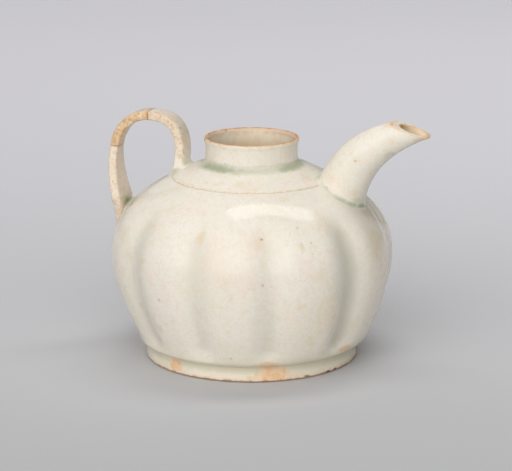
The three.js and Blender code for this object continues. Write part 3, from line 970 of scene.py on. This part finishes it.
# %% Ochre blots
ochre_blots = [
    (0.85, (-5.1, -54.2, 64.9), (2.4, 2.5, 4.4)),
    (1, (20.6, -50.5, 65.1), (1.6, 1.6, 1.3)),
    (0.8, (19.3, -50.5, 62.5), (3.2, 3.2, 3)),
    (0.8, (36.9, -45.1, 62.1), (1.6, 1.6, 2.2)),
    (0.35, (45.2, -43.3, 50.1), (3.5, 3.5, 4)),
    (0.35, (-44.6, -39.3, 59.5), (4, 4, 5)),
    (0.4, (-41.5, -44.4, 52.1), (3.5, 3.5, 3)),
    (0.35, (-33.5, -50.9, 51.3), (3, 3, 3.5)),
    (0.3, (-31.5, -43.7, 66), (5, 4, 3)),
    (0.3, (-21.8, -42.5, 73), (6, 4, 4)),
    (0.3, (41.4, -30.7, 69.8), (5, 5, 5)),
    (0.45, (60, -12, 56), (7, 7, 14)),
    (0.3, (45, -38, 34), (8, 8, 12)),
]
coat.daub(0.7, (220, 196, 156), ochre_blots)
print(len(ochre_blots), "ochre blots")

# %% Painted shade under the spout and in the groove beyond its root, bare scars at the heel, rosy places and pinholes
# Painted shade: a darker patch under the spout and in the groove beyond its root, where the
# roughness is raised too.
painted_shade_by_spout = coat.daub(1, (172, 162, 136), [
    (0.5, (52.5, -1, 68), (6, 8, 5)),
    (0.5, (54, 9, 65), (5, 4.5, 10)),
], ragged=1.0)
coat.daub(0.7, (222, 184, 144), [
    (1, (48.3, -18, 10.9), (3, 6, 1.5)),
    (1, (21.6, -45, 8.8), (5.2, 4, 1.8)),
], ragged=1.6, core=0.6)
coat.daub(0.5, (232, 212, 196), [
    (0.8, (18.3, -52, 62), (8, 9, 8)),
    (0.6, (13.9, -58.4, 50), (7, 7, 9)),
    (0.7, (2.9, -60, 54), (15, 12, 14)),
])
pinholes = [
    (0.9, (20.9, -50.4, 65.2), (0.7, 0.7, 0.45)),
    (0.7, (7.6, -51.5, 12.1), (0.55, 0.6, 0.5)),
    (0.5, (33.4, -40.7, 68.9), (0.6, 0.6, 0.6)),
    (0.5, (39.8, -41.6, 63.2), (0.5, 0.5, 0.5)),
    (0.5, (40.9, -43.8, 59), (0.5, 0.5, 0.5)),
    (0.5, (23.3, -56.2, 46.9), (0.7, 0.7, 0.6)),
    (0.6, (-22.9, -56.6, 36.9), (0.7, 0.7, 0.6)),
]
pits = coat.daub(0.8, (150, 132, 98), pinholes)
coat.bumps -= pits * 0.2
print(len(pinholes), "pinholes")

# %% The seam, and fire the pot
seam = coat.radius.step(35.9, 35.2) * coat.height.step(79.8, 80.2)
coat.paint(seam * coat.noise(1.1, 3, (4, 0, 0)).step(0.42, 0.6) * 0.65, SEAM_CLAY)
fire(coat, pot, painted_shade_by_spout * 0.8, 0.06)

# %% [markdown]
# ## Foot, cap and collar
# The foot was wiped and trimmed, so its lowest edge is bare, burnt clay, and two fingers left bare
# patches above it. The rim of the collar is bare too, because it was wiped or fired upside down.

# %% Finish of the ring foot
coat = cream_coat("foot_glaze", 4)
pooled = coat.height.wavy(1.5).step(3, 5.2)
coat.paint(pooled * coat.noise(7, 2).step(0.15, 0.5) * 0.65, (204, 202, 174))
coat.paint(0.35, (206, 196, 168))
patches = coat.blots([
    (1, (-21, -41.3, 3.4), (3.4, 3, 3)),
    (1, (22.6, -40.2, 3.4), (6.6, 5.2, 3.6)),
    (0.6, (15.6, -43.8, 1.5), (4, 3, 1.3)),
    (0.5, (31.5, -34.5, 1.4), (4, 4, 1.4)),
], 1.3, 0.85)
bare = patches.most(coat.height.wavy().step(2, 1) * 0.6)
clay = coat.mix(coat.noise(2.4, 4).step(0.35, 0.7), BARE_CLAY, (230, 200, 168))
coat.paint(bare, clay)
burnt = coat.height.wavy(1.4).step(1.2, 0.6)
coat.paint(burnt * 0.65, DARK_LINE)
coat.daub(1, (96, 70, 50), [
    (0.9, (34.8, -31.2, 1.1), (1.4, 1.4, 0.5)),
    (0.9, (41.6, -21.2, 0.9), (1, 1.8, 0.5)),
    (0.9, (43.6, -16.8, 0.9), (1, 1.6, 0.5)),
])
coat.bumps -= patches * 0.1
fire(coat, foot, bare)


# %% Green glaze in the corner round the neck
def neck_pool(coat):
    """How thickly it lies there: most on the left, less on the right, least in front."""
    band = coat.radius.wavy(2).step(25, 22.2) * coat.height.wavy().step(90.2, 87.2)
    sides = coat.blots([
        (1.1, (-12, -20, 86.5), (12, 8, 6)),
        (0.85, (21, -7, 86.5), (5, 13, 6)),
    ], 1, 0.4)
    return band * (sides * 0.5 + 0.3)


# %% Finish of the shoulder cap
coat = cream_coat("cap_glaze", 11)
along_pot = coat.add("SeparateXYZ", {}, [coat.place], "X")
towards_strap = along_pot.step(2, -24)
line = (coat.radius + (coat.ragged + 0.1) * towards_strap * 7).step(33.9, 34.7)
line *= coat.noise(1.1, 3, (1, 0, 0)).step(0.42, 0.6)
smear = coat.noise(2, 3, (3, 3, 9)).step(0.48, 0.64)
smear = towards_strap * coat.radius.step(31.6, 34.4) * smear
coat.paint(line.most(smear * 0.8) * 0.65, SEAM_CLAY)
coat.daub(0.7, (222, 190, 142), [
    (0.9, (32.5, -6, 83.3), (2.4, 3, 2.4)),
    (0.5, (29.3, -9, 84), (4, 3, 2.4)),
    (0.3, (5.3, -29, 83), (4, 3, 3)),
])
pooled = coat.radius.step(26, 22.8) * coat.noise(6, 2).step(0.4, 0.7)
coat.paint(pooled * 0.3, (208, 212, 190))
coat.paint(neck_pool(coat), DEEP_GREEN)
coat.daub(1, POOLED_GREEN, [(0.5, (-34, -7.5, 81), (5, 4, 2.4))], ragged=1.0)
fire(coat, cap)

# %% Finish of the collar
coat = cream_coat("collar_glaze", 17)
inside = coat.radius.step(19.9, 19.2)
streaks = coat.noise(2.4, 3, (6, 1, 0), (1, 1, 0.2)).step(0.35, 0.75)
coat.paint(inside * 0.85, (236, 221, 195))
coat.paint(inside * streaks * 0.22, (214, 182, 148))
deep = inside * coat.height.wavy(4).step(94.5, 91)
coat.paint(deep * 0.35, (220, 188, 148))
cracks = coat.crackle(6, 0.13, (1, 1, 0.12)) * coat.noise(5, 2, (3, 0, 6)).step(0.4, 0.6)
coat.paint(cracks * 0.12, (190, 150, 112))
foot_green = coat.height.step(90.2, 88) * coat.noise(6, 2).step(0.4, 0.7)
coat.paint(foot_green * 0.3, POOLED_GREEN)
coat.paint(neck_pool(coat), DEEP_GREEN)
coat.bumps -= cracks * 0.03
print(coat.material.name, "so far has", len(coat.tree.nodes), "nodes")

# %% Bare rim of the collar
rim = coat.height.wavy(1.6).step(97, 97.6)
coat.paint(rim * 0.7, (228, 190, 142))
burnt = rim * coat.noise(2.2, 3, (8, 8, 0)).step(0.52, 0.68)
coat.paint(burnt * 0.45, (204, 150, 100))
tan_inside = coat.height.wavy(5).step(94.6, 97)
coat.paint(coat.radius.step(19.6, 19.2) * tan_inside * 0.55, (206, 176, 152))
inner_edge = coat.radius.wavy(0.9).step(20.5, 20.15) * coat.radius.step(19.1, 19.5)
inner_edge *= coat.height.step(96.9, 97.3)
inner_edge *= 0.2 + coat.noise(3, 3, (5, 1, 1)).step(0.35, 0.6) * 0.8
coat.paint(inner_edge * 0.9, (184, 118, 66))
coat.daub(1, (120, 84, 60), [
    (0.9, (-18.1, -10.3, 97.3), (0.7, 0.9, 1.4)),
    (0.5, (-15.4, 10.9, 97.4), (0.7, 0.7, 0.5)),
])
fire(coat, collar, rim)

# %% [markdown]
# ## Spout and strap
# The spout's lip is bare where it was cut, and its bore is stained ochre. The strap's glaze is
# thin, so the tan clay shows through, most of all at its corners and on the side that faces the
# camera. Brown lines mark the mends.

# %% Lip and bore of the spout
coat = cream_coat("spout_glaze", 23)
bore = coat.mark("bore")
offset = coat.vector("SUBTRACT", coat.place, tuple(CUT_TIP / MM))
under_lip = coat.number("DOT_PRODUCT", offset, tuple(-CUT_NORMAL))
coat.paint(bore.step(0.6, 0.95), (230, 212, 180))
bare_lip = under_lip.wavy(0.8).step(0.7, 0.1) * coat.blots([
    (1, (79, 0, 102.8), (3.6, 4, 2.4)),
    (1, (62.4, -1, 107.8), (3.4, 4.5, 3)),
])
coat.paint(bare_lip * 0.7, (218, 176, 128))
lip_line = under_lip.wavy(0.7).step(0.9, 0.5) * under_lip.wavy(0.7).step(0, 0.35)
coat.paint(lip_line * 0.6, (222, 182, 140))
inner_line = bore.wavy(0.3).step(0.62, 0.74) * bore.step(0.99, 0.9)
coat.paint(inner_line * 0.7, (200, 146, 96))
print(coat.material.name, "so far has", len(coat.tree.nodes), "nodes")

# %% Stains, painted shade low on the spout, pits, and fire the spout
coat.daub(0.75, (222, 190, 144), [
    (0.6, (62.8, -2.5, 107.6), (3.4, 2.6, 1.4)),
    (0.9, (79.3, 0, 102.3), (2.4, 4, 2)),
    (0.6, (75.5, -3.2, 101.5), (2.2, 2, 1.8)),
    (0.3, (64.8, -6.9, 101.5), (3, 2, 2.4)),
    (0.35, (49.6, -9.3, 92.3), (2.2, 1.2, 2)),
    (0.35, (48.7, -8.6, 77.5), (3, 2.6, 4)),
    (0.3, (38.3, -9.5, 84), (3, 2.5, 3)),
])
# Pooled glaze with painted shade: greenish grey on the spout's underside and low by its root.
coat.daub(0.6, (176, 182, 158), [
    (0.7, (63.3, -5, 95.3), (3, 3, 2.2)),
    (0.6, (50.3, -6, 73.5), (3, 5, 3)),
])
pits = coat.daub(1, (136, 92, 56), [
    (0.55, (49.6, -9.3, 92.3), (0.8, 0.6, 0.5)),
    (0.55, (64.1, -3, 108.1), (0.7, 0.6, 0.6)),
    (1, (79.8, 0, 101.7), (0.6, 1.2, 0.5)),
])
coat.bumps -= pits * 0.15
fire(coat, spout, bare_lip)


# %% Finish of the strap
STRAP_CLAY = (224, 196, 166)


def fire_strap(piece, name, seed, tan, mending, clay=STRAP_CLAY, rooted=False, dark=(), green=()):
    """Thin glaze over clay; tan is how much clay shows, and mending how strong its lines are."""
    coat = cream_coat(name, seed)
    corner, mend = coat.mark("corner"), coat.mark("mend")
    near = coat.mark("near").step(0.6, 0.8)
    worn = coat.noise(3.5, 3, (seed, 2, 0)).step(0.3, 0.7)
    share = tan * (0.6 + worn * 0.4) * (0.55 + near * 0.45)
    if rooted:
        share = (share - coat.height.wavy(8).step(94, 84) * 0.5).clamped()
    coat.paint(share, clay)
    mottle = coat.noise(1.7, 4, (seed, 0, 7)).step(0.42, 0.62)
    coat.paint(mottle * tan * (0.25 + near * 0.35), (194, 156, 114))
    coat.paint(coat.noise(2.6, 3, (7, 0, seed)).step(0.52, 0.68) * 0.6, (236, 222, 202))
    edges = corner.step(0.4, 0.95) * coat.noise(2.5, 3, (0, 3, seed)).step(0.42, 0.65)
    coat.paint(edges * (0.25 + tan * 0.35), (204, 154, 108))
    dots = coat.specks(1.6, 0.3 + tan * 0.3, 0.42, (seed, 4, 0)) * (0.3 + near * 0.4)
    coat.paint(dots, (146, 108, 74))
    halo = mend.wavy(3).step(1.6, 0.2)
    coat.paint(halo * mending * 0.5, (214, 170, 126))
    line = mend.wavy(0.9).step(0.28, 0.05)
    coat.paint(line * mending, (150, 104, 70))
    if dark:
        coat.daub(1, (128, 92, 62), dark)
    # Greenish dark where the tail meets the pot: pooled glaze and painted shade.
    if green:
        coat.daub(1, DEEP_GREEN, green, ragged=1.0)
    coat.bumps = coat.bumps - dots * 0.05 - line * 0.1
    fire(coat, piece)


front_dots = [
    (0.8, (-33.7, -4.9, 96.8), (0.7, 0.6, 0.7)),
    (0.8, (-33.9, -4.9, 91.5), (0.6, 0.6, 0.6)),
    (0.8, (-32, -3.1, 100.3), (0.6, 0.8, 0.6)),
]
# Pooled glaze and painted shade on the tail where it meets the pot.
tail_pool_and_shade = [(0.9, (-57.6, 0, 65.4), (3, 4.5, 1.8))]
front_clay, crown_clay = (224, 197, 166), (224, 192, 152)
fire_strap(front_leg, "strap_front_glaze", 31, 0.65, 0.6, front_clay, rooted=True, dark=front_dots)
fire_strap(crown, "strap_crown_clay", 37, 1.3, 0.6, crown_clay)
fire_strap(back_leg, "strap_back_glaze", 41, 0.5, 0.3)
fire_strap(tail, "strap_tail_glaze", 41, 0.5, 0.15, green=tail_pool_and_shade)

# %% [markdown]
# ## Pooled glaze
# In the corners the glaze lies thick over the slip, and there it shows its green. It breaks to
# pale again on the upper edge of each ring. Low round the spout's root and where the strap's
# back meets the pot, the crease is also darkened with painted shade.


# %% Finish of the slip rings
def fire_slip(piece, name, seed, strength, places=(), pool=None, rough=0.14):
    coat = cream_coat(name, seed)
    rise = coat.mark("rise").wavy(0.8)
    hollow = rise.step(0.1, 0.45) * rise.step(0.95, 0.6)
    cloud = coat.noise(5, 3, (seed, 0, 1)).step(0.35, 0.65)
    coat.paint(hollow * (0.35 + cloud * 0.65) * strength, (194, 199, 174))
    if places:
        # Deep green at the given places: pooled glaze, and at the spout's root and the strap's back
        # also painted shade.
        coat.paint(coat.blots(places, 1) * (hollow * 0.4 + 0.6), DEEP_GREEN)
    if pool:
        coat.paint(pool(coat), DEEP_GREEN)
    fire(coat, piece, rough=rough)


# Pooled glaze round the spout's root, darker along its front and lower side as painted shade.
spout_creases_pool_and_shade = [
    (0.5, (31.3, -3.5, 82.7), (2.6, 3, 1.6)),
    (0.3, (38, -11.2, 79), (5, 3, 3)),
    (0.45, (43.5, -11, 75.6), (5, 3.5, 2.6)),
    (0.6, (48, -8, 73.4), (4.5, 4, 2.4)),
    (0.8, (50.9, -1, 71.6), (2.5, 6, 2)),
]
front_creases = [(0.55, (-33, -7.2, 81.4), (4, 2.6, 1.8))]
# Pooled glaze and painted shade in the crease under the strap's back.
back_creases_pool_and_shade = [(1, (-57, -1, 65.6), (4, 7, 2.8))]
fire_slip(neck_slip, "collar_slip_glaze", 51, 0.3, pool=neck_pool, rough=0.07)
fire_slip(spout_slip, "spout_slip_glaze", 57, 0.7, spout_creases_pool_and_shade, rough=0.08)
fire_slip(front_slip, "strap_front_slip_glaze", 61, 0.25, front_creases)
fire_slip(back_slip, "strap_back_slip_glaze", 67, 0.5, back_creases_pool_and_shade)

# %% [markdown]
# ## Table, lamp and room
# The ewer stands on a plain grey table, painted paler towards the back: painted light that falls
# off towards the front. The photograph's light is very soft: a pale room that is brightest in
# front, a little to the left and low down, and one long lamp overhead, whose reflection is the
# bright arc on the shoulder.

# %% Table
TABLE_RADIUS = 6
table_form = bmesh.new()
bmesh.ops.create_circle(table_form, cap_ends=True, radius=TABLE_RADIUS, segments=96)
floor = new_object("table_top", mesh_of(table_form, "table_top"))
floor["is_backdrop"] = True
table = Finish("table_grey")
backwards = table.number("DOT_PRODUCT", table.place, tuple(-towards_camera)) * MM
# Painted light: the table's colour is lighter towards the back and darker towards the front, as the
# light falls off.
NEAR_SHADED_GREY, FAR_LIT_GREY = (197, 197, 198), (234, 232, 238)
table.set("Base Color", table.mix(backwards.step(-0.35, 0.9), NEAR_SHADED_GREY, FAR_LIT_GREY))
table.set("Roughness", 0.9)
table.set("Specular IOR Level", 0.0)
floor.data.materials.append(table.material)
print("table", 2 * TABLE_RADIUS, "m across")

# %% Lamp
lamp_data = bpy.data.lights.new("long_lamp", "AREA")
lamp_data.shape = "RECTANGLE"
lamp_data.size, lamp_data.size_y = 0.8, 0.24
lamp_data.energy = 2.75
long_lamp = new_object("long_lamp", lamp_data)
long_lamp.location = axis_foot + image_right * 0.21 + towards_camera * -0.15 + Vector((0, 0, 1.0))
long_lamp.rotation_euler.z = math.radians(30)
print("lamp", round(lamp_data.energy, 2), "W, facing straight down")

# %% Room
GLOW_POWER = 3.0
world = bpy.data.worlds.new("pale_room")
world.use_nodes = True
bpy.context.scene.world = world
room = Nodes(world.node_tree)
direction = room.add("TexCoord", {}, {}, "Generated")


def glow(turn, rise, strength):
    """Light from one side of the room, by the turn to the right of the camera and the rise."""
    turn, rise = math.radians(turn), math.radians(rise)
    side = image_right * math.sin(turn) + towards_camera * math.cos(turn)
    middle = side * math.cos(rise) + Vector((0, 0, math.sin(rise)))
    facing = room.number("DOT_PRODUCT", direction, tuple(middle))
    return facing.most(0.0).sum("POWER", GLOW_POWER) * strength


backdrop = world.node_tree.nodes["Background"]
backdrop.inputs["Color"].default_value = (1, 1, 1, 1)
above_horizon = room.add("SeparateXYZ", {}, [direction], "Z").step(-0.03, 0.22)
glows = glow(-14, 11, 3.6) + glow(55, 20, 0.12) + glow(180, 45, 0.2) + glow(-155, 15, 0.7)
room.feed(backdrop.inputs["Strength"], glows * (above_horizon * 0.75 + 0.25))
bpy.context.scene.view_settings.view_transform = "Standard"
print("world", world.name, "with", len(world.node_tree.nodes), "nodes")

# %% Measure the CAD and visual boxes
visual_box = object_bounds()
for label, (low, high) in (("CAD", cad_box), ("visual", visual_box)):
    print(label, [round(value / MM, 2) for value in (*low, *high)])
